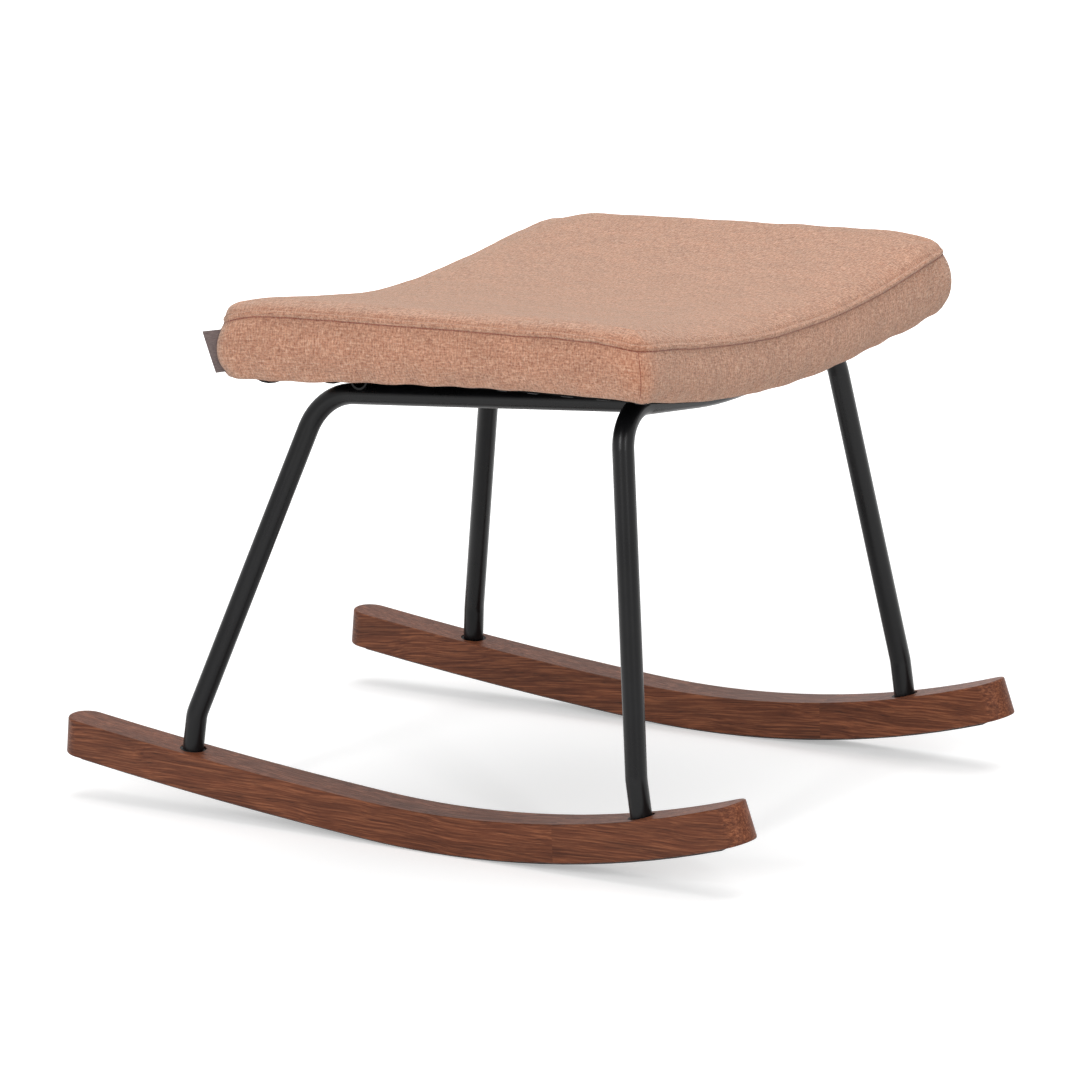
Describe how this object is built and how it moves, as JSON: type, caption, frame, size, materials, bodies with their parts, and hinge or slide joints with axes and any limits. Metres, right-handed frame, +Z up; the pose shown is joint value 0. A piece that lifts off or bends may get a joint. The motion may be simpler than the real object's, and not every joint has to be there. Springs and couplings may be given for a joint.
{
  "type": "rocking footstool",
  "caption": "Rocking footstool with curved wooden runners, a bent black tube frame and a dished upholstered seat.",
  "frame": {"origin": "on the floor, under the middle of the rockers", "axes": "+Z up, +X along the rockers towards the upright pair of legs, +Y towards the left rocker"},
  "size_m": [0.6209, 0.4382, 0.405],
  "materials": {
    "upholstery_fabric": "matte",
    "frame_black": "satin",
    "rocker_wood": "satin",
    "felt": "matte",
    "collar_black": "matte",
    "zinc_steel": "satin",
    "plywood": "matte",
    "foam": "matte",
    "dust_cloth": "matte",
    "tag_cloth": "matte"
  },
  "bodies": {
    "root": {"rocker_left_front_board": "rocker_wood", "rocker_left_rear_board": "rocker_wood", "rocker_right_front_board": "rocker_wood", "rocker_right_rear_board": "rocker_wood", "felt_strip_left": "felt", "felt_strip_right": "felt", "front_leg_arch": "frame_black", "rear_leg_and_rail_left": "frame_black", "rear_leg_and_rail_right": "frame_black", "rear_cross_tube": "frame_black", "mounting_tabs_front": "frame_black", "mounting_tabs_rear": "frame_black", "leg_collars": "collar_black", "leg_threaded_plugs": "zinc_steel", "rocker_bolts": "zinc_steel", "rocker_washers": "zinc_steel", "seat_bolts": "zinc_steel", "seat_washers": "zinc_steel", "tee_nuts": "zinc_steel", "seat_board": "plywood", "foam_pad": "foam", "cover_top_panel": "upholstery_fabric", "cover_side_band": "upholstery_fabric", "dust_cover": "dust_cloth", "fabric_tag": "tag_cloth"}
  },
  "joints": []
}
